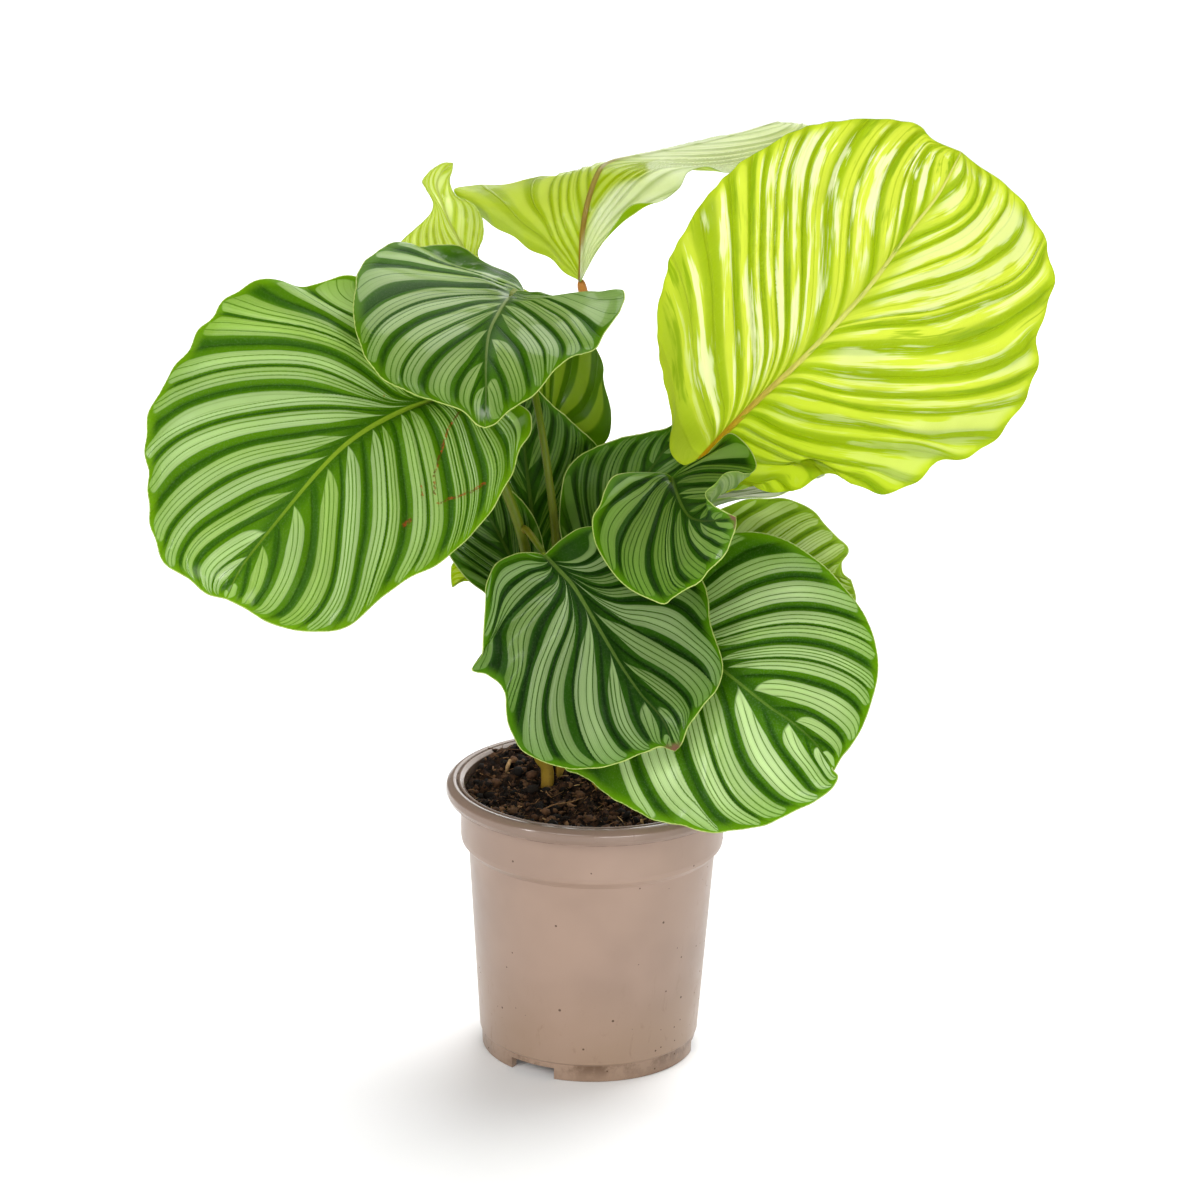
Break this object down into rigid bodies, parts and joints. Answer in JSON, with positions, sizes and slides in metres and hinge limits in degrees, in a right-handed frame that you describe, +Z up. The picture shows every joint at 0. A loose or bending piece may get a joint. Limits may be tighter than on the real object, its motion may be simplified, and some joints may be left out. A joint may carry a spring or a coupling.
{
  "type": "potted calathea house plant",
  "caption": "Bushy calathea with large round, silver-striped leaves on slender stalks, growing from peat in a round taupe plastic nursery pot with a turned-over rim.",
  "frame": {"origin": "on the pot's axis, at ground level under the middle of the pot's foot", "axes": "+Z up along the pot's axis, -Y towards the side that faces the viewer, +X to the viewer's right, where the tallest leaf stands"},
  "size_m": [0.4982, 0.2772, 0.5652],
  "materials": {
    "pot_plastic": "satin moulded taupe plastic, lightly soiled",
    "peat": "moist fibrous peat with bits of bark and straw",
    "leaf_front": "satin leaf with wide silver-green bands between dark green veins",
    "leaf_lit": "thin leaf with the light shining through, yellow-green with soft bands",
    "leaf_shade": "satin leaf in shade, dark green bands",
    "stalk_green": "smooth fleshy green stalk",
    "stalk_tan": "smooth fleshy tan stalk"
  },
  "bodies": {
    "root": {"pot": "pot_plastic", "soil": "peat", "leaf_left_large": "leaf_front", "leaf_top_front": "leaf_front", "leaf_right_tall": "leaf_lit", "leaf_top_back": "leaf_lit", "leaf_back_left_curled": "leaf_lit", "leaf_back_centre": "leaf_shade", "leaf_back_right": "leaf_shade", "leaf_lower_left": "leaf_shade", "leaf_front_centre": "leaf_front", "leaf_front_small": "leaf_front", "leaf_right_low": "leaf_front", "leaf_right_middle": "leaf_front", "leaf_right_back": "leaf_shade", "leaf_left_back_small": "leaf_lit", "petiole_left_large": "stalk_green", "petiole_top_front": "stalk_green", "petiole_front_centre": "stalk_green", "petiole_right_low": "stalk_green", "petiole_front_small": "stalk_green", "petiole_right_tall": "stalk_green", "petiole_right_middle": "stalk_green", "petiole_back_right": "stalk_green", "petiole_back_centre": "stalk_green", "petiole_back_left_curled": "stalk_tan", "petiole_top_back": "stalk_tan", "petiole_lower_left": "stalk_green", "petiole_right_back": "stalk_green", "petiole_left_back_small": "stalk_green"}
  },
  "joints": []
}
